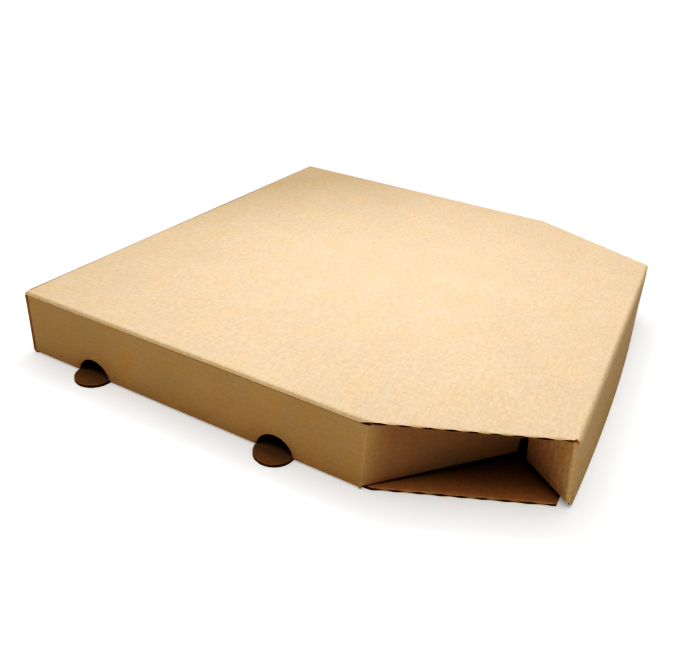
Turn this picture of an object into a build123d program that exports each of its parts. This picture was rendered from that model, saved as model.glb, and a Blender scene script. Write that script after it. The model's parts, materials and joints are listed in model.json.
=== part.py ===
"""A folded corrugated pizza box with cut front corners, in millimetres.

The box is one die-cut sheet of corrugated board. Here it is split along the crease at the back
of its lid, so that the lid can turn: a base tray (floor, walls and their ears) and a lid (top,
front flap, its ears and its side tuck flaps).

+Z is up, +X to the right and -Y towards the side that opens. The origin is the middle of the
floor panel's underside, on the surface that the box stands on.
"""

import os
from math import cos, radians, sin, sqrt, tan

from build123d import *

# ---- Driving dimensions -------------------------------------------------------------------------

board = 1.7  # thickness of the corrugated board
tray_width = 300.0  # across the outer faces of the side walls
tray_length = 290.0  # from the front crease of the floor to the outer face of the back wall
box_height = 38.5  # from the underside of the floor to the top of the closed lid

corner_cut_x = 39.0  # cut-off front corner, measured along the front edge
corner_cut_y = 82.5  # cut-off front corner, measured along the side edge

bend_radius = 2.2  # outer radius of an upright crease
crease_radius = 1.2  # outer radius of the long creases of the floor and the lid
slack = 0.01  # how closely an edge is matched when it is chosen by its place
lid_gap = 0.5  # between the tops of the walls and the underside of the lid
layer_gap = 0.3  # between two layers of board that lie face to face

side_ear_angle = 45.0  # how far the front ear of a side wall turns inwards
side_ear_length = 79.0  # from the vertical crease to the ear's free end
side_ear_rise_root = 0.4  # height of the ear's lower edge over the floor, at its crease
side_ear_rise_tip = 6.9  # and at its free end
rear_ear_length = 42.0  # of the ears tucked inside the back wall
rear_ear_rise = 0.6  # height of their lower edge over the floor

front_wall_inset = 13.0  # from each end of the floor's front crease to the end of the front wall
front_wall_lean = 2.6  # how far the top of the front wall leans inwards

flap_lean = 4.6  # how far the lower edge of the lid's front flap stands out
flap_lift = 1.0  # height of the flap's lower edge over the ground
lid_ear_angle = 54.0  # angle between the front flap and each of its ears
lid_ear_gap = 2.1  # from its free end to the outer face of the side wall's ear, at the lid
lid_ear_floor_gap = 0.8  # from the floor up to the lower edge of the ear, at its crease
lid_ear_slant = 6.9  # degrees by which that edge then rises towards the free end
lid_ear_drop = 1.2  # from the underside of the lid to the upper edge of the ear

tuck_vent_gap = 0.4  # from the lower edge of the lid's side tuck flaps to the top of the vents
tuck_gap = 0.5  # between a tuck flap and the side wall beside it
tuck_front_margin = 13.0  # from the corner cut to the front end of a tuck flap
tuck_back_margin = 14.0  # from the back of the box to the back end of a tuck flap
tuck_taper = 7.0  # how much shorter each end of the tuck flap is at its lower edge

vent_radius = 10.4  # of the half-moon vents and of the tongues cut from them
vent_pitch = 115.4  # between the two vents of one side wall

# ---- Worked out from them -----------------------------------------------------------------------

half_width = tray_width / 2
front = -tray_length / 2
back = tray_length / 2
cut_y = front + corner_cut_y
cut_x = half_width - corner_cut_x
lid_under = box_height - board
wall_top = lid_under - lid_gap
ear_back = back - board - layer_gap
tuck_depth = lid_under - vent_radius - tuck_vent_gap
vent_middle = (cut_y + back) / 2
vent_ys = (vent_middle - vent_pitch / 2, vent_middle + vent_pitch / 2)

panel_outline = [
    (half_width, back),
    (-half_width, back),
    (-half_width, cut_y),
    (-cut_x, front),
    (cut_x, front),
    (half_width, cut_y),
]


def edges_between(part, low, high):
    """The straight edges of a part that run inside the box from low to high."""
    found = part.edges().filter_by(GeomType.LINE)
    for axis, least, most in zip((Axis.X, Axis.Y, Axis.Z), low, high):
        found = [
            edge
            for edge in found
            if least - slack <= min((edge @ 0).dot(axis.direction), (edge @ 1).dot(axis.direction))
            and max((edge @ 0).dot(axis.direction), (edge @ 1).dot(axis.direction)) <= most + slack
        ]
    return found


# ---- Base tray ----------------------------------------------------------------------------------

side_ear_turn = radians(side_ear_angle)
side_ear_direction = Vector(sin(side_ear_turn), -cos(side_ear_turn), 0)
side_ear_plane = Plane(
    origin=(-half_width, cut_y, 0),
    x_dir=tuple(side_ear_direction),
    z_dir=(-cos(side_ear_turn), -sin(side_ear_turn), 0),
)

# The middle of the board along a side wall and its two ears, seen from above.
wall_middle_x = -half_width + board / 2
rear_ear_end = Vector(-half_width + rear_ear_length, ear_back - board / 2)
rear_corner = Vector(wall_middle_x, ear_back - board / 2)
front_corner = Vector(wall_middle_x, cut_y + board / 2 * tan(side_ear_turn / 2))
side_ear_end = front_corner + side_ear_direction * side_ear_length

with BuildPart() as base_tray:
    # One side wall with its two ears, in one strip. The other side is its mirror image.
    with BuildSketch():
        with BuildLine():
            FilletPolyline(
                rear_ear_end, rear_corner, front_corner, side_ear_end, radius=bend_radius - board / 2
            )
        trace(line_width=board)
    extrude(amount=wall_top)

    # The lower edge of the front ear rises to its free end.
    with BuildSketch(side_ear_plane):
        with BuildLine():
            Polyline(
                (bend_radius / 2, -board),
                (bend_radius / 2, board + side_ear_rise_root),
                (side_ear_length, board + side_ear_rise_tip),
                (side_ear_length + board, board + side_ear_rise_tip),
                (side_ear_length + board, -board),
                close=True,
            )
        make_face()
    extrude(amount=board, both=True, mode=Mode.SUBTRACT)

    # The lower edge of the rear ear clears the floor.
    with BuildSketch(Plane.XZ.offset(-ear_back)):
        with BuildLine():
            Polyline(
                (-half_width + bend_radius, -board),
                (-half_width + bend_radius, board + rear_ear_rise),
                (-half_width + rear_ear_length + board, board + rear_ear_rise),
                (-half_width + rear_ear_length + board, -board),
                close=True,
            )
        make_face()
    extrude(amount=board, mode=Mode.SUBTRACT)

    # The half-moon vents at the foot of the wall.
    with BuildSketch(Plane.YZ.offset(-half_width)):
        with Locations(*[(vent_y, 0) for vent_y in vent_ys]):
            Circle(vent_radius)
    extrude(amount=board, mode=Mode.SUBTRACT)

    mirror(about=Plane.YZ)

    # The floor, with the tongues of the vents left in its plane.
    with BuildSketch():
        with BuildLine():
            Polyline(*panel_outline, close=True)
        make_face()
        with Locations(*[(side * half_width, vent_y) for side in (-1, 1) for vent_y in vent_ys]):
            Circle(vent_radius)
    extrude(amount=board)

    # The back wall stands behind the rear ears, with plain cut ends.
    with BuildSketch(Plane.XZ.offset(-back)):
        with BuildLine():
            Polyline(
                (-half_width, 0),
                (half_width, 0),
                (half_width, wall_top),
                (-half_width, wall_top),
                close=True,
            )
        make_face()
    extrude(amount=board)

    # The front wall, behind the lid's front flap, leans a little inwards.
    with BuildSketch(Plane.YZ):
        with BuildLine():
            Polyline(
                (front, 0),
                (front + front_wall_lean, wall_top),
                (front + front_wall_lean + board, wall_top),
                (front + board, 0),
                close=True,
            )
        make_face()
    extrude(amount=cut_x - front_wall_inset, both=True)

    # The crease under the back wall is rounded.
    fillet(
        edges_between(base_tray.part, (-half_width, back, 0), (half_width, back, 0)),
        radius=crease_radius,
    )

base_tray.part.label = "base_tray"

# ---- Lid ----------------------------------------------------------------------------------------

# The crease between the front flap and its left ear runs from the lid's corner to the lower edge.
flap_low_z = box_height - flap_lift
flap_slope = flap_lean / flap_low_z
ear_crease = Vector(0, flap_slope, 1).normalized()
ear_direction = Vector(1, 0, 0).rotate(Axis((0, 0, 0), tuple(ear_crease)), lid_ear_angle)
ear_root = Vector(-cut_x, front, box_height)
lid_ear_plane = Plane(
    origin=tuple(ear_root),
    x_dir=tuple(ear_direction),
    z_dir=tuple(ear_direction.cross(ear_crease)),
)
crease_length = flap_low_z * sqrt(1 + flap_slope**2)

# The ear runs from there towards the side wall's ear, and stops short of it.
ear_corner_distance = (ear_root - side_ear_plane.origin).dot(side_ear_plane.z_dir)
lid_ear_length = (ear_corner_distance - lid_ear_gap) / -ear_direction.dot(side_ear_plane.z_dir)
lid_ear_rise_root = board - flap_lift + lid_ear_floor_gap
lid_ear_rise_tip = lid_ear_rise_root + lid_ear_length * tan(radians(lid_ear_slant))

with BuildPart() as lid:
    # The side tuck flap and the front flap's ear, on one side.
    with BuildSketch(Plane.YZ.offset(-half_width + board + tuck_gap)):
        with BuildLine():
            Polyline(
                (cut_y + tuck_front_margin, lid_under + board / 2),
                (cut_y + tuck_front_margin, lid_under),
                (cut_y + tuck_front_margin + tuck_taper, lid_under - tuck_depth),
                (back - tuck_back_margin - tuck_taper, lid_under - tuck_depth),
                (back - tuck_back_margin, lid_under),
                (back - tuck_back_margin, lid_under + board / 2),
                close=True,
            )
        make_face()
    extrude(amount=board)

    with BuildSketch(lid_ear_plane):
        with BuildLine():
            Polyline(
                (0, -crease_length + lid_ear_rise_root),
                (lid_ear_length, -crease_length + lid_ear_rise_tip),
                (lid_ear_length, -board - lid_ear_drop),
                (0, -board - lid_ear_drop),
                close=True,
            )
        make_face()
    extrude(amount=-board)

    mirror(about=Plane.YZ)

    # The front flap, hanging outside the tray's front wall.
    with BuildSketch(Plane.YZ):
        with BuildLine():
            Polyline(
                (front, box_height),
                (front - flap_lean, flap_lift),
                (front - flap_lean + board, flap_lift),
                (front + board, box_height),
                close=True,
            )
        make_face()
    extrude(amount=cut_x, both=True)

    # The top panel.
    with BuildSketch(Plane.XY.offset(lid_under)):
        with BuildLine():
            Polyline(*panel_outline, close=True)
        make_face()
    extrude(amount=board)

    # Its creases along the sides are rounded.
    fillet(
        edges_between(lid.part, (-half_width, cut_y, box_height), (-half_width, back, box_height))
        + edges_between(lid.part, (half_width, cut_y, box_height), (half_width, back, box_height)),
        radius=crease_radius,
    )

lid.part.label = "lid"

os.makedirs("parts", exist_ok=True)
export_step(base_tray.part, "parts/base_tray.step")
export_step(lid.part, "parts/lid.step")
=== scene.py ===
"""A folded corrugated pizza box, closed, on a plain pale floor.

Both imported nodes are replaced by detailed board: an outer and an inner liner with rounded creases
and the ridges that the fluting presses into them, and the fluting itself along every raw edge.
Lengths are in millimetres until they reach a mesh. A panel is described by two coordinates along
the board and by w, the height over its outer face: 0 is the outer face, -BOARD the inner one.
"""

import json
import math

import bmesh
import bpy
import numpy as np
from mathutils import Matrix, Vector


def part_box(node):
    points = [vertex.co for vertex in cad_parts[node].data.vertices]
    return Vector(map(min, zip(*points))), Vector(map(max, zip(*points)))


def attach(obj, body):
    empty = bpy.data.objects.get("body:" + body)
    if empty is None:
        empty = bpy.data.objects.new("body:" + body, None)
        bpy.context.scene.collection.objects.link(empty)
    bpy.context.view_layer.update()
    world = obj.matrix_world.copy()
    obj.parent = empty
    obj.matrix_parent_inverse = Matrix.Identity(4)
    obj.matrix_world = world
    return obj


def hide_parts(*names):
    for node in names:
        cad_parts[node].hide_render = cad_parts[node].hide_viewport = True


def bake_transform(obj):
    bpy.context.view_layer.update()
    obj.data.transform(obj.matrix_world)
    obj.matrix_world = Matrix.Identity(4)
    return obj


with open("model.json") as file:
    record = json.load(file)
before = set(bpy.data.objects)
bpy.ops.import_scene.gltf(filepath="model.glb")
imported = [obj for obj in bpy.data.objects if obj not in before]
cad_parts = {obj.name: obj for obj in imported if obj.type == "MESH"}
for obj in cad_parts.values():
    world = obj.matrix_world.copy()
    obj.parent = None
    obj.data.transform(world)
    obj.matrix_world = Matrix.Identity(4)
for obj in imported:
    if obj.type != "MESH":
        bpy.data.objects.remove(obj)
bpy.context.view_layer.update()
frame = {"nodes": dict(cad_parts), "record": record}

# ---- Sizes --------------------------------------------------------------------------------------

MM = 0.001


def millimetres(vector):
    return [value / MM for value in vector]


tray_low, tray_high = (millimetres(corner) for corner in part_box("base_tray"))
lid_low, lid_high = (millimetres(corner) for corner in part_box("lid"))
openings = {entry["name"]: entry["box_m"] for entry in frame["record"]["physics"]["openings"]}

HALF = lid_high[0]  # half the width over the side walls
BACK = lid_high[1]  # outer face of the back wall
FRONT = tray_low[1]  # front crease of the floor and of the lid
TOP = lid_high[2]
WALL_TOP = tray_high[2]
FLAP_OUT = lid_low[1]  # lower edge of the lid's front flap
FLAP_LOW = lid_low[2]
VENT_RADIUS = tray_high[0] - HALF
VENTS = [
    (openings[name][0][1] + openings[name][1][1]) / 2 / MM
    for name in ("vent_left_front", "vent_left_back")
]

lid_points = [millimetres(vertex.co) for vertex in frame["nodes"]["lid"].data.vertices]
CUT_Y = min(y for x, y, z in lid_points if x < -HALF + 0.05)  # where the corner cut meets the side
CUT_X = max(x for x, y, z in lid_points if abs(y - FRONT) < 0.05 and z > TOP - 0.05)
CUT_SLOPE = (CUT_Y - FRONT) / (HALF - CUT_X)

BOARD = 1.7  # thickness of the board
LINER = 0.26  # thickness of each liner
MEDIUM = 0.17  # thickness of the fluted sheet between them
PITCH = 3.42  # from one flute to the next
RIDGE = 0.014  # height of the ridges that the flutes press into the liners
PER_FLUTE = 6  # columns of vertices for each flute

BEND = 2.0  # outer radius of a crease
TIGHT_BEND = 0.9  # of the creases between the side walls and their rear ears
LIP_BEND = 1.2  # of the creases along the lid's sides
LIP_END = 0.15  # from the edge of the lid's side lip down to the wall under it
SOFT_BEND = 2.3  # of the crease between the lid's top and its front flap
LIP_TURN = math.radians(88)  # how far the lid's side edges turn down over the walls
EAR_ANGLE = math.radians(54)  # between the lid's front flap and its ears
EAR_LENGTH = 31.5
EAR_DROP = 2.2  # from the lid's top to the upper edge of the ear
EAR_RISE = (1.5, 7.5)  # of the ear's lower edge over the flap's, at the crease and at the free end
SIDE_EAR_TURN = math.radians(45)
SIDE_EAR_LENGTH = 79.0
SIDE_EAR_RISE = (1.9, 8.6)  # height of its lower edge, at the crease and at the free end
REAR_EAR_LENGTH = 42.0
REAR_EAR_RISE = 2.3
FRONT_WALL_HALF = CUT_X - 13.0
FRONT_WALL_LEAN = 2.6
TUCK_X = HALF - BOARD - 0.5  # outer face of the lid's side tuck flaps
TUCK_ENDS = (CUT_Y + 13.0, BACK - 14.0)
TUCK_DEPTH = 26.0
TUCK_TAPER = 7.0
FLAP_PAINTED_SHADE = 0.63  # painted shade of the front flap, which faces away from the light: its brightness against the lid's top
EAR_PAINTED_SHADE = 0.82  # painted shade of the flap's ears, against the lid's top
SIDE_EAR_PAINTED_SHADE = 0.78  # painted shade of the front ears of the side walls, against the walls
TONGUE_PAINTED_SHADE = 0.6  # painted shade of the tongues of the vents, in the wall's shadow, against the floor
FLAP_BULGE = 1.5  # how far the middle of the front flap stands out at its lower edge


# ---- Lines and grids ----------------------------------------------------------------------------


def spaced(start, end, step):
    """Evenly spaced values from start to end, about a step apart."""
    return np.linspace(start, end, max(2, int(round(abs(end - start) / step)) + 1))


def joined(*runs):
    """Runs of values one after the other, with each shared end kept once."""
    return np.concatenate([runs[0]] + [run[1:] for run in runs[1:]])


def bent_line(points, radii, step, bend_steps=6):
    """Points, normals and bend weights along a line whose corners are rounded.

    radii has one radius for each corner. The normal is on the left of the line's direction.
    """
    points = [np.array(point, float) for point in points]
    places, normals, weights = [], [], []

    def add(place, direction, weight):
        places.append(place)
        normals.append((-direction[1], direction[0]))
        weights.append(weight)

    start = points[0]
    for before, corner, after, radius in zip(points, points[1:], points[2:], radii):
        inward = (corner - before) / np.linalg.norm(corner - before)
        outward = (after - corner) / np.linalg.norm(after - corner)
        turn = math.atan2(
            inward[0] * outward[1] - inward[1] * outward[0], float(inward @ outward)
        )
        reach = radius * math.tan(abs(turn) / 2)
        arc_start = corner - inward * reach
        for share in spaced(0, np.linalg.norm(arc_start - start), step)[:-1]:
            add(start + inward * share, inward, 0)
        side = np.array((-inward[1], inward[0])) * math.copysign(1, turn)
        centre = arc_start + side * radius
        for angle in np.linspace(0, turn, bend_steps + 1):
            cos, sin = math.cos(angle), math.sin(angle)
            spin = np.array(((cos, -sin), (sin, cos)))
            add(centre - spin @ side * radius, spin @ inward, math.sin(math.pi * angle / turn))
        start = corner + outward * reach
    last = (points[-1] - points[-2]) / np.linalg.norm(points[-1] - points[-2])
    for share in spaced(0, np.linalg.norm(points[-1] - start), step)[1:]:
        add(start + last * share, last, 0)
    return np.array(places), np.array(normals), np.array(weights)


def cut_line(x):
    """How far forward the lid and the floor reach at x."""
    return np.maximum(FRONT, FRONT + (np.abs(x) - CUT_X) * CUT_SLOPE)


def ridge(across):
    """Height of the ridges at a distance across the flutes."""
    return RIDGE * np.cos(2 * math.pi * across / PITCH)


def crush_depth(x):
    """How far the liners are pressed in along a die-cut edge: in uneven scallops."""
    beat = np.cos(2 * math.pi * x / SCALLOP + 1.3 * np.sin(x / 7.0))
    return CRUSH * (1 + 0.6 * beat + 0.15 * np.sin(x / 2.3))


class Board:
    """One piece of folded board, gathered as grids of points for each of its layers."""

    def __init__(self, name):
        self.name = name
        self.grids = {"outer": [], "inner": [], "medium": []}

    def panel(self, place, across, crease=0.0, tone=1.0, mirrored=(False,)):
        """Adds a panel. place(w) gives a grid of points, across the distance across the flutes.

        crease is 1 where the board is folded, and tone darkens or lightens its colour: painted shade on
        faces that turn away from the light.
        """
        for flip in mirrored:
            for layer, height in (("outer", 0.0), ("inner", -BOARD)):
                sign = 1 if layer == "outer" else -1
                points = place(height + sign * ridge(across))
                raised = place(height + 1 + sign * ridge(across))
                self.grid(layer, points, across, crease, tone, flip, raised)

    def fluting(self, place, across, mirrored=(False,)):
        """Adds a strip of the fluted sheet. place(w) gives two rows of points, edge and inside."""
        swing = BOARD / 2 - LINER - MEDIUM / 2
        height = -BOARD / 2 + swing * np.cos(2 * math.pi * across / PITCH)
        for flip in mirrored:
            self.grid("medium", place(height), across, flip=flip)

    def closing(self, place, count, mirrored=(False,)):
        """Closes a raw edge that runs along a flute. place(w) gives the edge's line, twice."""
        height = np.repeat([[-LINER / 2], [LINER / 2 - BOARD]], count, 1)
        for flip in mirrored:
            self.grid("medium", place(height), np.zeros((2, count)), flip=flip)

    def grid(self, layer, points, across, crease=0.0, tone=1.0, flip=False, raised=None):
        """Adds one grid of points to a layer, or its mirror image.

        raised is the same grid moved towards the outer face, which its faces then look at.
        """
        mirror_image = np.array((-1.0, 1.0, 1.0)) if flip else np.ones(3)
        points = np.array(points, float) * mirror_image
        turned = False
        if raised is not None:
            outward = (raised * mirror_image - points)[:-1, :-1]
            down = points[1:, :-1] - points[:-1, :-1]
            along = points[:-1, 1:] - points[:-1, :-1]
            turned = (np.cross(down, along) * outward).sum() < 0
        crease = np.broadcast_to(crease, across.shape)
        tone = np.broadcast_to(tone, across.shape)
        self.grids[layer].append((points, across, crease, tone, turned))

    def layer_object(self, layer, thickness, offset):
        """One layer as an object: its grids welded together and given their thickness."""
        mesh = bpy.data.meshes.new(f"{self.name}_{layer}")
        build = bmesh.new()
        across_layer = build.verts.layers.float.new("across")
        crease_layer = build.verts.layers.float.new("crease")
        tone_layer = build.verts.layers.float.new("tone")
        for points, across, crease, tone, turned in self.grids[layer]:
            rows, columns = points.shape[:2]
            corners = [[None] * columns for _ in range(rows)]
            for row in range(rows):
                for column in range(columns):
                    vertex = build.verts.new(points[row, column] * MM)
                    vertex[across_layer] = across[row, column]
                    vertex[crease_layer] = crease[row, column]
                    vertex[tone_layer] = tone[row, column]
                    corners[row][column] = vertex
            for row in range(rows - 1):
                for column in range(columns - 1):
                    loop = [
                        corners[row][column],
                        corners[row + 1][column],
                        corners[row + 1][column + 1],
                        corners[row][column + 1],
                    ]
                    if turned:
                        loop.reverse()
                    build.faces.new(loop)
        bmesh.ops.remove_doubles(build, verts=build.verts, dist=0.004 * MM)
        bmesh.ops.dissolve_degenerate(build, edges=build.edges, dist=0.002 * MM)
        build.to_mesh(mesh)
        build.free()
        piece = bpy.data.objects.new(mesh.name, mesh)
        bpy.context.scene.collection.objects.link(piece)
        solidify = piece.modifiers.new("thickness", "SOLIDIFY")
        solidify.thickness = thickness * MM
        solidify.offset = offset
        solidify.use_rim = True
        solidify.use_quality_normals = True
        solidify.material_offset_rim = 1
        return piece

    def build(self, outer, inner, raw):
        """All layers in one object, with the materials of its outer, inner and raw faces."""
        layers = [
            (self.layer_object("outer", LINER, -1), (outer, outer)),
            (self.layer_object("inner", LINER, 1), (inner, raw)),
            (self.layer_object("medium", MEDIUM, 0), (raw, raw)),
        ]
        graph = bpy.context.evaluated_depsgraph_get()
        whole = bmesh.new()
        materials = []
        for piece, finishes in layers:
            for finish in finishes:
                piece.data.materials.append(finish)
        graph.update()
        for piece, finishes in layers:
            evaluated = bpy.data.meshes.new_from_object(piece.evaluated_get(graph))
            first = len(materials)
            materials += list(finishes)
            for polygon in evaluated.polygons:
                polygon.material_index += first
            whole.from_mesh(evaluated)
            bpy.data.objects.remove(piece)
        mesh = bpy.data.meshes.new(self.name)
        for finish in materials:
            mesh.materials.append(finish)
        whole.to_mesh(mesh)
        whole.free()
        for polygon in mesh.polygons:
            polygon.use_smooth = True
        mesh.set_sharp_from_angle(angle=math.radians(40))
        result = bpy.data.objects.new(self.name, mesh)
        bpy.context.scene.collection.objects.link(result)
        return result


def stack(*columns):
    return np.stack(np.broadcast_arrays(*columns), axis=-1)


BOTH = (False, True)
FLUTE_STEP = PITCH / PER_FLUTE
RIBBON = 6.0  # how far the fluted sheet is followed into the board
INSET = 0.12  # how far it lies back from the raw edge
CUT_INSET = 1.6  # and at the cut corners of the lid, where the die has crushed the board
EDGE_BAND = 2.6  # width of the band that it has crushed
CRUSH = 0.44  # how far it has pressed each liner in
SCALLOP = 4.57  # from one scallop of the crushed edge to the next, across the box


# ---- Lid ----------------------------------------------------------------------------------------


def lid_warp(x, y):
    """How far the lid's top is from flat."""
    sag = -0.35 * (1 - (x / HALF) ** 2) * (1 - (y / BACK) ** 2)
    return sag + 0.10 * np.sin(x / 31.0 + 0.6) * np.cos(y / 43.0)


def lid_top(board):
    """The top panel, its rounded back and side edges and its cut front corners."""
    reach = SOFT_BEND * math.tan((math.pi / 2 - flap_turn_back) / 2)
    lip = np.append(np.linspace(0, LIP_TURN, 5), LIP_TURN)
    lip_drop = LIP_BEND * (1 - np.cos(lip))
    lip_drop[-1] = TOP - WALL_TOP - LIP_END
    lip_along = LIP_BEND * lip
    lip_along[-1] += lip_drop[-1] - lip_drop[-2]
    flat = joined(
        spaced(-HALF + LIP_BEND, -CUT_X, FLUTE_STEP),
        spaced(-CUT_X, CUT_X, FLUTE_STEP),
        spaced(CUT_X, HALF - LIP_BEND, FLUTE_STEP),
    )
    edge = HALF - LIP_BEND
    level = np.zeros(len(flat))
    out_x = edge + LIP_BEND * np.sin(lip)
    x = np.concatenate([-out_x[:0:-1], flat, out_x[1:]])
    drop_x = np.concatenate([lip_drop[:0:-1], level, lip_drop[1:]])
    lean_x = np.concatenate([-np.sin(lip[:0:-1]), level, np.sin(lip[1:])])
    along = np.concatenate([-(edge + lip_along[:0:-1]), flat, edge + lip_along[1:]])
    turn = np.linspace(math.pi / 2, 0, 5)
    shares = np.linspace(0, 1, 15)[1:]
    edge_rows = np.array((1.8, 0.9, 0.4, 0.0))  # distances from the raw edge
    flats = np.zeros(len(shares) + len(edge_rows))
    front = np.maximum(cut_line(along), FRONT + reach)
    y_back = BACK - BEND + BEND * np.sin(turn)
    drop_y = np.concatenate([BEND * (1 - np.cos(turn)), flats])
    lean_y = np.concatenate([np.sin(turn), flats])
    flat_y = (BACK - BEND) + (front[None, :] + EDGE_BAND - (BACK - BEND)) * shares[:, None]
    edge_y = front[None, :] + edge_rows[:, None]
    y = np.concatenate([np.repeat(y_back[:, None], len(x), 1), flat_y, edge_y])
    crushed = np.zeros(y.shape)
    crushed[-len(edge_rows):] = (1 - edge_rows[:, None] / EDGE_BAND) ** 2
    crushed *= np.clip((np.abs(along) - CUT_X) / 1.5, 0, 1) * crush_depth(along)
    normal = stack(lean_x[None, :], lean_y[:, None], 1 - 0.5 * (lean_x[None, :] ** 2 + lean_y[:, None] ** 2))
    normal = normal / np.linalg.norm(normal, axis=-1, keepdims=True)
    height = TOP - drop_x[None, :] - drop_y[:, None] + lid_warp(x[None, :], y)
    across = np.repeat(along[None, :], y.shape[0], 0)
    crease = np.maximum(np.abs(lean_x)[None, :], np.abs(lean_y)[:, None]) * 0.9

    def place(w):
        w = w + crushed * np.where(w > -BOARD / 2, -1, 1)
        return stack(x[None, :], y, height) + normal * w[..., None]

    board.panel(place, across, crease)

    # Fluting along the two cut corners.
    cut_x = spaced(CUT_X + 1.0, HALF - 0.6, PITCH / 12)
    cut_y = cut_line(cut_x) + CUT_INSET

    def ribbon(w):
        rows = np.stack([cut_y, cut_y + RIBBON])
        return stack(cut_x[None, :], rows, TOP + lid_warp(cut_x[None, :], rows) + w)

    board.fluting(ribbon, np.repeat(cut_x[None, :], 2, 0), mirrored=BOTH)


EAR_FOLD = CUT_X + 1.2  # where the planes of the flap and its ear would meet
EAR_START = EAR_FOLD - BEND * math.tan((math.pi - EAR_ANGLE) / 2)  # where the flap ends and the bend starts
flap_rise = TOP - FLAP_LOW
flap_turn_back = math.atan2(FRONT - FLAP_OUT, flap_rise)  # how far the flap leans out


def flap_swell(x, share):
    """How far the front flap stands out from its flat place, outwards, at a share of its depth."""
    along = x / CUT_X
    return (FLAP_BULGE - 1.1 * along - 3.2 * along**2) * share**1.4


def lid_flap(board):
    """The front flap below its soft crease."""
    places, normals, weights = bent_line(
        [(FRONT + 20.0, TOP), (FRONT, TOP), (FLAP_OUT, FLAP_LOW)], [SOFT_BEND], 4.5
    )
    keep = places[:, 0] <= FRONT + SOFT_BEND * math.tan((math.pi / 2 - flap_turn_back) / 2) + 1e-6
    places, normals, weights = places[keep], -normals[keep], weights[keep]
    depth = np.clip((TOP - places[:, 1]) / flap_rise, 0, 1)
    x = joined([-CUT_X, -EAR_START], spaced(-EAR_START, EAR_START, FLUTE_STEP), [EAR_START, CUT_X])
    bend = int(np.nonzero(weights > 1e-6)[0].max()) + 2
    for rows, columns in ((slice(0, bend), slice(None)), (slice(bend - 1, None), slice(1, -1))):
        row_x = x[columns][None, :]
        share = depth[rows][:, None]
        swell = flap_swell(row_x, share)

        def place(w, row_x=row_x, rows=rows, swell=swell, share=share):
            height = swell + w
            y = places[rows, 0][:, None] + normals[rows, 0][:, None] * height
            z = places[rows, 1][:, None] + normals[rows, 1][:, None] * height
            return stack(row_x, y, z + lid_warp(row_x, FRONT) * (1 - share))

        across = np.repeat(row_x, len(share), 0)
        # Painted shade: the flap is darkened below its crease, where it faces away from the light.
        tone = 1 - (1 - FLAP_PAINTED_SHADE) * np.clip(share / 0.12, 0, 1)
        board.panel(place, across, weights[rows][:, None], tone)

    # The ends of the crease above the ears.
    upper = depth < EAR_DROP / flap_rise + 0.03

    def crease_end(w):
        y = places[upper, 0] + normals[upper, 0] * w
        z = places[upper, 1] + normals[upper, 1] * w
        return stack(-CUT_X + 2 * INSET, y, z + lid_warp(CUT_X, FRONT))

    board.closing(crease_end, int(upper.sum()), mirrored=BOTH)

    low_x = spaced(x[1], x[-2], PITCH / 12)

    def ribbon(w):
        share = np.array([[1 - INSET / flap_rise], [1 - RIBBON / flap_rise]])
        height = flap_swell(low_x[None, :], share) + w
        y = FRONT + (FLAP_OUT - FRONT) * share + normals[-1, 0] * height
        return stack(low_x[None, :], y, TOP - flap_rise * share + normals[-1, 1] * height)

    board.fluting(ribbon, np.repeat(low_x[None, :], 2, 0))


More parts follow.
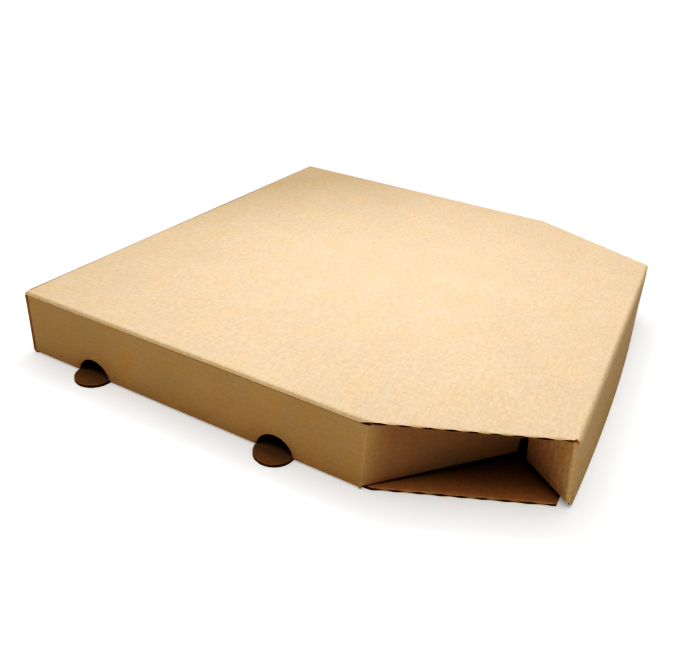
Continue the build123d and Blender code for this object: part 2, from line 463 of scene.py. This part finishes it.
def lid_ears(board):
    """The two ears of the front flap, folded in behind it."""
    slope = math.hypot(flap_rise, FRONT - FLAP_OUT)
    down = np.array((0.0, FLAP_OUT - FRONT, FLAP_LOW - TOP)) / slope
    along = np.array((1.0, 0.0, 0.0))
    out = np.cross(along, -down)
    out = out if out[1] < 0 else -out
    places, normals, weights = bent_line(
        [
            (EAR_FOLD - EAR_START, 0.0),
            (0.0, 0.0),
            (EAR_LENGTH * math.cos(EAR_ANGLE), -EAR_LENGTH * math.sin(EAR_ANGLE)),
        ],
        [BEND],
        PITCH / 4,
        10,
    )
    places, normals, weights = places[1:], -normals[1:], weights[1:]
    share = np.clip(np.arange(len(places)) / (len(places) - 1), 0, 1)
    for side in (-1, 1):
        root = np.array((-EAR_FOLD, FRONT, TOP))

        def at(position, normal, depth, w, side=side, root=root):
            fall = depth / slope
            swell = flap_swell(side * EAR_START, fall)
            point = root + along * position[..., 0:1] + out * position[..., 1:2]
            point = point + (along * normal[..., 0:1] + out * normal[..., 1:2]) * w[..., None]
            return point + down * depth[..., None] + out * swell[..., None]

        low = slope - EAR_RISE[0] * np.clip(share * 9, 0, 1) - (EAR_RISE[1] - EAR_RISE[0]) * share
        rows = np.linspace(0, 1, 8)[:, None]
        depth = EAR_DROP + (low[None, :] - EAR_DROP) * rows
        position = np.repeat(places[None], 8, 0)
        normal = np.repeat(normals[None], 8, 0)
        length = np.concatenate([[0], np.cumsum(np.linalg.norm(np.diff(places, axis=0), axis=1))])
        across = np.repeat(length[None, :], 8, 0)
        crease = np.repeat(weights[None, :], 8, 0)
        # Painted shade: the ears go from the flap's painted shade at the crease to their own, lighter
        # painted shade.
        tone = FLAP_PAINTED_SHADE + (EAR_PAINTED_SHADE - FLAP_PAINTED_SHADE) * np.clip(share * 6, 0, 1)
        flip = side > 0

        def place(w, position=position, normal=normal, depth=depth, at=at):
            return at(position, normal, depth, w)

        for layer, height in (("outer", 0.0), ("inner", -BOARD)):
            sign = 1 if layer == "outer" else -1
            points = place(height + sign * ridge(across))
            raised = place(height + 1 + sign * ridge(across))
            board.grid(layer, points, across, crease, tone, flip, raised)

        def free_end(w, depth=depth, at=at):
            ends = np.stack([depth[:, -1]] * 2)
            spot = np.broadcast_to(places[-1] - (places[-1] - places[-2]) * 0.3, (2, 8, 2))
            return at(spot, np.broadcast_to(normals[-1], (2, 8, 2)), ends, w)

        height = np.repeat([[-LINER / 2], [LINER / 2 - BOARD]], 8, 1)
        board.grid("medium", free_end(height), np.zeros((2, 8)), flip=flip)

        steps = spaced(length[0], length[-1], PITCH / 10)
        fine_place = stack(*(np.interp(steps, length, places[:, axis]) for axis in (0, 1)))
        fine_normal = stack(*(np.interp(steps, length, normals[:, axis]) for axis in (0, 1)))
        fine_low = np.interp(steps, length, low)

        def ribbon(w):
            depths = np.stack([fine_low - INSET, fine_low - RIBBON])
            return at(np.stack([fine_place] * 2), np.stack([fine_normal] * 2), depths, w)

        swing = BOARD / 2 - LINER - MEDIUM / 2
        wave = -BOARD / 2 + swing * np.cos(2 * math.pi * np.stack([steps] * 2) / PITCH)
        board.grid("medium", ribbon(wave), np.stack([steps] * 2), flip=flip)


def lid_tucks(board):
    """The side tuck flaps that hang inside the side walls."""
    under = TOP - BOARD
    z = spaced(under - 0.05, under - TUCK_DEPTH, FLUTE_STEP)
    share = (under - z) / TUCK_DEPTH
    taper = TUCK_TAPER * share + 4.0 * np.maximum(0, share - 0.8) / 0.2 * share
    ends = TUCK_ENDS[0] + taper, TUCK_ENDS[1] - taper
    steps = np.linspace(0, 1, 14)
    y = ends[0][:, None] + (ends[1] - ends[0])[:, None] * steps[None, :]

    def place(w):
        return stack(-TUCK_X - w, y, z[:, None])

    board.panel(place, np.repeat(z[:, None], 14, 1), mirrored=BOTH)

    def lower_edge(w):
        return stack(-TUCK_X - w, y[-1], z[-1] + INSET)

    board.closing(lower_edge, 14, mirrored=BOTH)
    for end in (0, 1):
        inward = RIBBON if end == 0 else -RIBBON
        shift = INSET if end == 0 else -INSET
        fine_z = spaced(under - 0.1, under - TUCK_DEPTH + 0.1, PITCH / 10)
        fine_y = np.interp(-fine_z, -z, ends[end])

        def ribbon(w, fine_y=fine_y, inward=inward, shift=shift):
            return stack(-TUCK_X - w, np.stack([fine_y + shift, fine_y + inward]), fine_z[None, :])

        board.fluting(ribbon, np.stack([fine_z] * 2), mirrored=BOTH)


# ---- Base tray ----------------------------------------------------------------------------------


def tray_floor(board):
    """The floor, the back wall and the front wall, folded from one run of board."""
    flat = joined(
        spaced(-HALF + BEND, -CUT_X, FLUTE_STEP),
        spaced(-CUT_X, CUT_X, FLUTE_STEP),
        spaced(CUT_X, HALF - BEND, FLUTE_STEP),
    )
    front = np.maximum(cut_line(flat), FRONT + BEND)
    edge_rows = np.array((EDGE_BAND, 1.8, 0.9, 0.4, 0.0))[:, None]
    shares = np.linspace(0, 1, 9)[:-1, None]
    y = (BACK - BEND) + (front[None, :] + EDGE_BAND - (BACK - BEND)) * shares
    y = np.concatenate([y, front[None, :] + edge_rows])
    crushed = np.zeros(y.shape)
    crushed[-len(edge_rows):] = (1 - edge_rows / EDGE_BAND) ** 2
    crushed *= np.clip((np.abs(flat) - CUT_X) / 1.5, 0, 1) * crush_depth(flat)

    def place(w):
        return stack(flat[None, :], y, -w - crushed * np.where(w > -BOARD / 2, -1, 1))

    board.panel(place, np.repeat(flat[None, :], len(y), 0))

    cut_x = spaced(CUT_X + 1.2, HALF - 1.0, PITCH / 12)
    cut_y = cut_line(cut_x) + CUT_INSET

    def ribbon(w):
        return stack(cut_x[None, :], np.stack([cut_y, cut_y + RIBBON]), -w)

    board.fluting(ribbon, np.stack([cut_x] * 2), mirrored=BOTH)

    walls = (
        ([(BACK - 20, 0), (BACK, 0), (BACK, WALL_TOP)], HALF - 0.2, 1),
        ([(FRONT + 20, 0), (FRONT, 0), (FRONT + FRONT_WALL_LEAN, WALL_TOP)], FRONT_WALL_HALF, -1),
    )
    for points, half, side in walls:
        places, normals, weights = bent_line(points, [BEND], 5.0)
        first = int(np.nonzero(weights > 1e-6)[0].min()) - 1
        places, normals, weights = places[first:], normals[first:] * -side, weights[first:]
        x = spaced(-half, half, FLUTE_STEP)

        def wall(w, places=places, normals=normals, x=x):
            y = places[:, 0][:, None] + normals[:, 0][:, None] * w
            z = places[:, 1][:, None] + normals[:, 1][:, None] * w
            return stack(x[None, :], y, z)

        across = np.repeat(x[None, :], len(places), 0)
        crease = np.repeat(weights[:, None], len(x), 1)
        board.panel(wall, across, crease)

        fine_x = spaced(-half + 0.3, half - 0.3, PITCH / 8)
        top_place, top_normal = places[-1], normals[-1]
        down = (places[-2] - places[-1]) / np.linalg.norm(places[-2] - places[-1])

        def top_ribbon(w, fine_x=fine_x, top_place=top_place, top_normal=top_normal, down=down):
            reach = np.array([[INSET], [RIBBON]])
            y = top_place[0] + down[0] * reach + top_normal[0] * w
            z = top_place[1] + down[1] * reach + top_normal[1] * w
            return stack(fine_x[None, :], y, z)

        board.fluting(top_ribbon, np.stack([fine_x] * 2))

        def wall_end(w, places=places, normals=normals, half=half):
            y = places[:, 0] + normals[:, 0] * w
            return stack(-half + INSET, y, places[:, 1] + normals[:, 1] * w)

        board.closing(wall_end, len(places), mirrored=BOTH)


def vent_height(y):
    """Height of the vent's edge in the side wall at y, or 0 beside the vents."""
    reach = np.min([np.abs(y - vent) for vent in VENTS], axis=0)
    return np.sqrt(np.maximum(0.0, VENT_RADIUS**2 - reach**2))


def tray_side(board):
    """A side wall with its vents, and its front and rear ears."""
    ear_back = BACK - BOARD
    direction = (math.sin(SIDE_EAR_TURN), -math.cos(SIDE_EAR_TURN))
    points = [
        (-HALF + REAR_EAR_LENGTH, ear_back),
        (-HALF, ear_back),
        (-HALF, CUT_Y),
        (-HALF + direction[0] * SIDE_EAR_LENGTH, CUT_Y + direction[1] * SIDE_EAR_LENGTH),
    ]
    places, normals, weights = bent_line(points, [TIGHT_BEND, BEND], 6.0)
    normals = -normals
    straight = (weights < 1e-6) & (places[:, 0] < -HALF + 1e-6)
    y_wall = places[straight, 1]
    top_y, low_y = y_wall.max(), y_wall.min()

    # The ears and the two upright bends.
    for part in ("rear", "front"):
        if part == "rear":
            chosen = places[:, 1] >= top_y - 1e-6
            place2, normal2, weight2 = places[chosen], normals[chosen], weights[chosen]
            low = np.where(place2[:, 0] < -HALF + TIGHT_BEND, 0.0, REAR_EAR_RISE)
        else:
            chosen = places[:, 1] <= low_y + 1e-6
            place2, normal2, weight2 = places[chosen], normals[chosen], weights[chosen]
            reach = np.hypot(place2[:, 0] + HALF, place2[:, 1] - CUT_Y) / SIDE_EAR_LENGTH
            low = SIDE_EAR_RISE[0] + (SIDE_EAR_RISE[1] - SIDE_EAR_RISE[0]) * reach
            low = np.where(place2[:, 0] < -HALF + 0.4, 0.3, low)
        rows = spaced(0, 1, FLUTE_STEP / WALL_TOP)[:, None]
        z = WALL_TOP + (low[None, :] - WALL_TOP) * rows

        def place(w, place2=place2, normal2=normal2, z=z):
            x = place2[None, :, 0] + normal2[None, :, 0] * w
            y = place2[None, :, 1] + normal2[None, :, 1] * w
            return stack(x, y, z)

        tone = 1.0
        # Painted shade: the front ear darkens away from its crease, into the pocket behind the lid's flap.
        if part == "front":
            tone = 1 - (1 - SIDE_EAR_PAINTED_SHADE) * np.clip(reach * 8, 0, 1)[None, :]
        board.panel(place, z, weight2[None, :], tone, mirrored=BOTH)
        for edge_z in (np.full(len(low), WALL_TOP - INSET), low + INSET):

            def raw_edge_line(w, place2=place2, normal2=normal2, edge_z=edge_z):
                x = place2[None, :, 0] + normal2[None, :, 0] * w
                y = place2[None, :, 1] + normal2[None, :, 1] * w
                return stack(x, y, edge_z[None, :])

            board.closing(raw_edge_line, len(low), mirrored=BOTH)

        end = 0 if part == "rear" else -1
        step = place2[1] - place2[0] if part == "rear" else place2[-2] - place2[-1]
        inward = step / np.linalg.norm(step)
        fine_z = spaced(low[end] + 0.1, WALL_TOP - 0.1, PITCH / 10)
        flat_end, flat_normal = place2[end], normal2[end]

        def ribbon(w, inward=inward, fine_z=fine_z, flat_end=flat_end, flat_normal=flat_normal):
            reach = np.array([[INSET], [RIBBON]])
            x = flat_end[0] + inward[0] * reach + flat_normal[0] * w
            y = flat_end[1] + inward[1] * reach + flat_normal[1] * w
            return stack(x, y, fine_z[None, :])

        board.fluting(ribbon, np.stack([fine_z] * 2), mirrored=BOTH)

    # The wall between the bends, over its crease and its vents.
    arcs = [vent + VENT_RADIUS * np.cos(np.linspace(0, math.pi, 25)) for vent in VENTS[::-1]]
    y = joined(
        spaced(top_y, arcs[0][0], 6.0),
        arcs[0],
        spaced(arcs[0][-1], arcs[1][0], 6.0),
        arcs[1],
        spaced(arcs[1][-1], low_y, 6.0),
    )
    rows = spaced(0, 1, FLUTE_STEP / WALL_TOP)[:, None]
    low = np.maximum(BEND, vent_height(y))
    z = WALL_TOP + (low[None, :] - WALL_TOP) * rows

    def wall(w):
        return stack(-HALF - w, y[None, :], z)

    board.panel(wall, z, mirrored=BOTH)

    def wall_top(w):
        return stack(-HALF - w, y[None, :], WALL_TOP - INSET)

    board.closing(wall_top, len(y), mirrored=BOTH)

    # The crease at the wall's foot, between the vents, and the tongues left in the floor's plane.
    runs = (
        spaced(top_y, arcs[0][0], 6.0),
        spaced(arcs[0][-1], arcs[1][0], 6.0),
        spaced(arcs[1][-1], low_y, 6.0),
    )
    turn = np.linspace(math.pi / 2, 0, 7)[:, None]
    for run in runs:

        def foot(w, run=run):
            radius = BEND + w
            x = -HALF + BEND - radius * np.sin(turn)
            return stack(x, run[None, :], BEND - radius * np.cos(turn))

        across = np.repeat(BEND * turn, len(run), 1)
        board.panel(foot, across, np.sin(2 * turn), mirrored=BOTH)

    for vent in VENTS:
        tongue_y = vent + VENT_RADIUS * np.cos(np.linspace(0, math.pi, 25))
        reach = HALF + np.sqrt(np.maximum(0, VENT_RADIUS**2 - (tongue_y - vent) ** 2))
        shares = np.linspace(0, 1, 12)[:, None]
        x = -reach[None, :] + (reach[None, :] - HALF + BEND) * shares

        def tongue(w, x=x, tongue_y=tongue_y):
            return stack(x, tongue_y[None, :], -w)

        # Painted shade: the tongue darkens outward from the wall, where the wall shadows it.
        out = np.clip((-x - HALF + 4) / 5, 0, 1)
        board.panel(tongue, x, tone=1 - (1 - TONGUE_PAINTED_SHADE) * out, mirrored=BOTH)

        for side in (-1, 1):
            fine = np.linspace(0.06, math.pi / 2 - 0.03, 90)
            edge_y = vent + side * (VENT_RADIUS - INSET) * np.cos(fine)
            edge_x = (VENT_RADIUS - INSET) * np.sin(fine)
            inside = np.stack([edge_y, np.full_like(edge_y, vent) + side * 0.1])

            def tongue_ribbon(w, edge_x=edge_x, inside=inside):
                return stack(-HALF - edge_x[None, :], inside, -w)

            board.fluting(tongue_ribbon, np.stack([edge_x] * 2), mirrored=BOTH)
            hole_y = vent + side * (VENT_RADIUS + INSET) * np.cos(fine)
            outside = np.stack([hole_y, hole_y + side * RIBBON])

            def hole_ribbon(w, edge_x=edge_x, outside=outside):
                return stack(-HALF - w, outside, edge_x[None, :])

            board.fluting(hole_ribbon, np.stack([edge_x] * 2), mirrored=BOTH)


# ---- Materials ----------------------------------------------------------------------------------


class Nodes:
    """A node material under construction."""

    def __init__(self, name):
        self.material = bpy.data.materials.new(name)
        self.material.use_nodes = True
        self.tree = self.material.node_tree
        self.shader = self.tree.nodes["Principled BSDF"]

    def add(self, kind, **values):
        node = self.tree.nodes.new(kind)
        for key, value in values.items():
            if key in node.inputs:
                node.inputs[key].default_value = value
            else:
                setattr(node, key, value)
        return node

    def link(self, start, end):
        self.tree.links.new(start, end)

    def noise(self, vector, scale, detail=4.0, roughness=0.6, stretch=None):
        if stretch is not None:
            mapping = self.add("ShaderNodeMapping")
            mapping.inputs["Scale"].default_value = stretch
            self.link(vector, mapping.inputs["Vector"])
            vector = mapping.outputs["Vector"]
        node = self.add("ShaderNodeTexNoise")
        node.inputs["Scale"].default_value = scale
        node.inputs["Detail"].default_value = detail
        node.inputs["Roughness"].default_value = roughness
        self.link(vector, node.inputs["Vector"])
        return node.outputs["Fac"]

    def ramp(self, value, low, high, dark, light):
        node = self.add("ShaderNodeMapRange")
        node.inputs["From Min"].default_value = low
        node.inputs["From Max"].default_value = high
        node.inputs["To Min"].default_value = dark
        node.inputs["To Max"].default_value = light
        self.link(value, node.inputs["Value"])
        return node.outputs["Result"]

    def maths(self, operation, first, second):
        node = self.add("ShaderNodeMath", operation=operation)
        for socket, value in zip(node.inputs, (first, second)):
            if isinstance(value, (int, float)):
                socket.default_value = value
            else:
                self.link(value, socket)
        return node.outputs["Value"]

    def mix(self, factor, first, second, blend="MIX"):
        node = self.add("ShaderNodeMix", data_type="RGBA", blend_type=blend)
        sockets = node.inputs[0], node.inputs[6], node.inputs[7]
        for socket, value in zip(sockets, (factor, first, second)):
            if isinstance(value, (int, float, tuple)):
                socket.default_value = value
            else:
                self.link(value, socket)
        return node.outputs[2]


def shade(colour, factor):
    return tuple(min(1.0, channel * factor) for channel in colour) + (1.0,)


def kraft(name, colour, worn, grain, stripes, wear):
    """Unbleached liner: mottled fibre, faint lines over the flutes, paler where it is creased, and each
    panel's painted shade from its tone.
    """
    nodes = Nodes(name)
    place = nodes.add("ShaderNodeTexCoord").outputs["Object"]
    fibre = nodes.noise(place, 620.0, 6.0, 0.7, (0.45, 1.0, 1.0))
    cloud = nodes.noise(place, 38.0, 5.0, 0.62)
    patch = nodes.noise(place, 9.0, 3.0, 0.5)
    drift = nodes.noise(place, 75.0, 4.0, 0.65, (0.6, 1.0, 1.0))
    across = nodes.add("ShaderNodeAttribute", attribute_name="across").outputs["Fac"]
    crease = nodes.add("ShaderNodeAttribute", attribute_name="crease").outputs["Fac"]
    wave = nodes.maths("COSINE", nodes.maths("MULTIPLY", across, 2 * math.pi / PITCH), 0.0)
    tone = nodes.ramp(fibre, 0.25, 0.75, 1 - grain, 1 + grain)
    tone = nodes.maths("MULTIPLY", tone, nodes.ramp(cloud, 0.3, 0.7, 0.972, 1.028))
    tone = nodes.maths("MULTIPLY", tone, nodes.ramp(patch, 0.3, 0.7, 0.985, 1.015))
    # The panel's tone attribute: painted shade, darker on faces that turn away from the light.
    panel = nodes.add("ShaderNodeAttribute", attribute_name="tone").outputs["Fac"]
    tone = nodes.maths("MULTIPLY", tone, panel)
    tone = nodes.maths("MULTIPLY", tone, nodes.ramp(wave, -1.0, 1.0, 1 - stripes, 1 + stripes))
    fleck = nodes.noise(place, 1500.0, 3.0, 0.6, (0.35, 1.0, 1.0))
    warm = (colour[0] * 1.02, colour[1] * 0.99, colour[2] * 0.95)
    cool = (colour[0] * 0.98, colour[1] * 1.01, colour[2] * 1.06)
    base = nodes.mix(nodes.ramp(drift, 0.35, 0.65, 0.0, 1.0), shade(warm, 1.0), shade(cool, 1.0))
    base = nodes.mix(nodes.ramp(fleck, 0.66, 0.8, 0.0, 0.30), base, shade(colour, 0.72))
    scuff = nodes.maths("MULTIPLY", crease, nodes.ramp(fibre, 0.35, 0.7, 0.35, 1.0))
    base = nodes.mix(nodes.maths("MULTIPLY", scuff, wear), base, shade(worn, 1.0))
    gray = nodes.add("ShaderNodeCombineColor")
    for channel in ("Red", "Green", "Blue"):
        nodes.link(tone, gray.inputs[channel])
    base = nodes.mix(1.0, base, gray.outputs["Color"], "MULTIPLY")
    nodes.link(base, nodes.shader.inputs["Base Color"])
    nodes.link(nodes.ramp(cloud, 0.3, 0.7, 0.78, 0.9), nodes.shader.inputs["Roughness"])
    nodes.shader.inputs["Specular IOR Level"].default_value = 0.25
    bump = nodes.add("ShaderNodeBump")
    bump.inputs["Strength"].default_value = 0.35
    bump.inputs["Distance"].default_value = 0.00008
    nodes.link(nodes.maths("ADD", fibre, nodes.maths("MULTIPLY", cloud, 0.6)), bump.inputs["Height"])
    nodes.link(bump.outputs["Normal"], nodes.shader.inputs["Normal"])
    return nodes.material


def raw_edge(name, colour):
    """The cut edge of the board: torn fibre, darker than its faces, partly its own colour and partly painted
    shade of the shadowed edge.
    """
    nodes = Nodes(name)
    place = nodes.add("ShaderNodeTexCoord").outputs["Object"]
    fibre = nodes.noise(place, 900.0, 5.0, 0.7)
    tear = nodes.noise(place, 160.0, 3.0, 0.5)
    base = nodes.mix(nodes.ramp(fibre, 0.3, 0.7, 0.0, 1.0), shade(colour, 0.75), shade(colour, 1.2))
    base = nodes.mix(nodes.ramp(tear, 0.5, 0.75, 0.0, 0.4), base, shade(colour, 1.5))
    nodes.link(base, nodes.shader.inputs["Base Color"])
    nodes.shader.inputs["Roughness"].default_value = 0.95
    nodes.shader.inputs["Specular IOR Level"].default_value = 0.1
    bump = nodes.add("ShaderNodeBump")
    bump.inputs["Strength"].default_value = 0.6
    bump.inputs["Distance"].default_value = 0.0001
    nodes.link(fibre, bump.inputs["Height"])
    nodes.link(bump.outputs["Normal"], nodes.shader.inputs["Normal"])
    return nodes.material


# The lid's colour is painted lighter than the tray's kraft: painted light on the top that faces the lamps,
# brought down again by the painted shade of its flap and ears.
LIT_LID_COLOUR = (0.58, 0.42, 0.265)
TRAY_COLOUR = (0.385, 0.272, 0.167)
INSIDE_COLOUR = (0.42, 0.29, 0.17)
WORN_COLOUR = (0.62, 0.46, 0.31)
# The raw edge's colour: partly its own darker fibre, partly painted shade of the shadowed edge.
EDGE_COLOUR_AND_SHADE = (0.30, 0.20, 0.12)

lid_face = kraft("lit_lid_kraft", LIT_LID_COLOUR, WORN_COLOUR, grain=0.15, stripes=0.014, wear=0.3)
tray_face = kraft("tray_kraft", TRAY_COLOUR, WORN_COLOUR, grain=0.07, stripes=0.008, wear=0.12)
inside_face = kraft("inside_kraft", INSIDE_COLOUR, WORN_COLOUR, grain=0.08, stripes=0.01, wear=0.1)
edge_face = raw_edge("board_edge", EDGE_COLOUR_AND_SHADE)


# ---- The two pieces -----------------------------------------------------------------------------

lid_board = Board("lid_board")
lid_top(lid_board)
lid_flap(lid_board)
lid_ears(lid_board)
lid_tucks(lid_board)
lid_piece = lid_board.build(lid_face, inside_face, edge_face)
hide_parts("lid")
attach(lid_piece, "lid")

tray_board = Board("tray_board")
tray_floor(tray_board)
tray_side(tray_board)
tray_piece = tray_board.build(tray_face, inside_face, edge_face)
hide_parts("base_tray")
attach(tray_piece, "tray")


CREASE_INSET = 3.0  # from the side walls to the ends of the strip
CREASE_STEP = 8.0  # between its vertices


def lid_crease():
    """The crease between the back wall and the lid: a strip just inside the outer liner."""
    turn = np.linspace(0, math.pi / 2, 7)
    below = WALL_TOP - np.array((3.0, 2.0, 1.0))
    y = np.concatenate([[BACK] * len(below), BACK - BEND + BEND * np.cos(turn)]) - INSET
    z = np.concatenate([below, TOP - BEND + BEND * np.sin(turn) - INSET])
    x = spaced(-HALF + CREASE_INSET, HALF - CREASE_INSET, CREASE_STEP)
    mesh = bpy.data.meshes.new("lid_crease")
    vertices = [(i * MM, j * MM, k * MM) for j, k in zip(y, z) for i in x]
    count = len(x)
    faces = [
        (row * count + i, row * count + i + 1, (row + 1) * count + i + 1, (row + 1) * count + i)
        for row in range(len(y) - 1)
        for i in range(count - 1)
    ]
    mesh.from_pydata(vertices, [], faces)
    across = np.tile(x, len(y))
    for name, values in (("across", across), ("crease", across * 0 + 0.5), ("tone", across * 0 + 1)):
        layer = mesh.attributes.new(name, "FLOAT", "POINT")
        layer.data.foreach_set("value", values)
    mesh.materials.append(tray_face)
    for polygon in mesh.polygons:
        polygon.use_smooth = True
    strip = bpy.data.objects.new("lid_crease", mesh)
    bpy.context.scene.collection.objects.link(strip)
    solidify = strip.modifiers.new("thickness", "SOLIDIFY")
    solidify.thickness = LINER * MM
    solidify.offset = -1
    return strip


crease_piece = lid_crease()
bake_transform(crease_piece)


# ---- Studio -------------------------------------------------------------------------------------


def studio_floor():
    mesh = bpy.data.meshes.new("studio_floor")
    size = 12.0
    corners = [(-size, -size, 0), (size, -size, 0), (size, size, 0), (-size, size, 0)]
    mesh.from_pydata(corners, [], [(0, 1, 2, 3)])
    nodes = Nodes("studio_white")
    place = nodes.add("ShaderNodeTexCoord").outputs["Object"]
    base = nodes.mix(nodes.noise(place, 3.0), (0.79, 0.79, 0.79, 1.0), (0.80, 0.80, 0.80, 1.0))
    nodes.link(base, nodes.shader.inputs["Base Color"])
    nodes.shader.inputs["Roughness"].default_value = 0.9
    nodes.shader.inputs["Specular IOR Level"].default_value = 0.1
    nodes.shader.inputs["Emission Color"].default_value = (1.0, 1.0, 1.0, 1.0)
    nodes.shader.inputs["Emission Strength"].default_value = 0.25
    mesh.materials.append(nodes.material)
    floor = bpy.data.objects.new("studio_floor", mesh)
    bpy.context.scene.collection.objects.link(floor)


def sun(name, strength, softness, direction):
    """A soft light from far away, which shines along direction."""
    light = bpy.data.lights.new(name, "SUN")
    light.energy = strength
    light.angle = math.radians(softness)
    lamp = bpy.data.objects.new(name, light)
    lamp.rotation_euler = Vector(direction).to_track_quat("-Z", "Y").to_euler()
    bpy.context.scene.collection.objects.link(lamp)


def softbox(name, power, size, place, target):
    """A square soft light that faces target and stays out of the picture."""
    light = bpy.data.lights.new(name, "AREA")
    light.energy = power
    light.size = size
    lamp = bpy.data.objects.new(name, light)
    lamp.location = place
    lamp.rotation_euler = (target - place).to_track_quat("-Z", "Y").to_euler()
    lamp.visible_camera = False
    bpy.context.scene.collection.objects.link(lamp)


def studio_world(strength):
    """A soft even light from all round, with plain white behind the scene."""
    world = bpy.data.worlds.new("studio")
    world.use_nodes = True
    tree = world.node_tree
    seen = tree.nodes.new("ShaderNodeLightPath").outputs["Is Camera Ray"]
    level = tree.nodes.new("ShaderNodeMapRange")
    level.inputs["To Min"].default_value = strength
    level.inputs["To Max"].default_value = 1.2
    tree.links.new(seen, level.inputs["Value"])
    background = tree.nodes["Background"]
    background.inputs["Color"].default_value = (1.0, 1.0, 1.0, 1.0)
    tree.links.new(level.outputs["Result"], background.inputs["Strength"])
    bpy.context.scene.world = world


def contrast(points):
    """Tones the image: a curve through points, from scene brightness to displayed brightness."""
    view = bpy.context.scene.view_settings
    view.view_transform = "Standard"
    view.use_curve_mapping = True
    mapping = view.curve_mapping
    mapping.use_clip = False
    mapping.extend = "EXTRAPOLATED"
    curve = mapping.curves[3]
    curve.points[0].location = points[0]
    curve.points[1].location = points[-1]
    for point in points[1:-1]:
        curve.points.new(*point)
    mapping.update()


def studio_camera(azimuth, elevation, roll, distance, target, lens):
    """A camera that looks at target from an azimuth and an elevation, in degrees."""
    turn, lift, tilt = (math.radians(angle) for angle in (azimuth, elevation, roll))
    back = Vector(
        (math.sin(turn) * math.cos(lift), -math.cos(turn) * math.cos(lift), math.sin(lift))
    )
    right = Vector((math.cos(turn), math.sin(turn), 0))
    up = back.cross(right)
    rolled_right = right * math.cos(tilt) + up * math.sin(tilt)
    rolled_up = up * math.cos(tilt) - right * math.sin(tilt)
    data = bpy.data.cameras.new("studio_camera")
    data.lens = lens
    data.sensor_width = 36.0
    data.clip_start = 0.01
    camera = bpy.data.objects.new("studio_camera", data)
    facing = Matrix((rolled_right, rolled_up, back)).transposed()
    camera.matrix_world = Matrix.Translation(target + back * distance) @ facing.to_4x4()
    bpy.context.scene.collection.objects.link(camera)
    bpy.context.scene.camera = camera


studio_floor()
sun("key", 2.5, 80.0, (-0.16, -0.10, -1.0))
softbox("softbox", 1.2, 0.21, Vector((0.041, 0.083, 0.316)), Vector((-0.543, -0.941, 0.0)))
softbox("corner_card", 0.06, 0.2, Vector((-0.32, -0.32, 0.1)), Vector((-0.11, -0.115, 0.015)))
studio_world(0.38)
contrast(((0, 0), (0.05, 0.002), (0.1, 0.012), (0.16, 0.042), (0.24, 0.133), (0.46, 0.415), (1, 0.93)))

studio_camera(-64.556, 29.333, 4.974, 0.407261, Vector((-0.050639, -0.003016, 0.020)), 35.91)
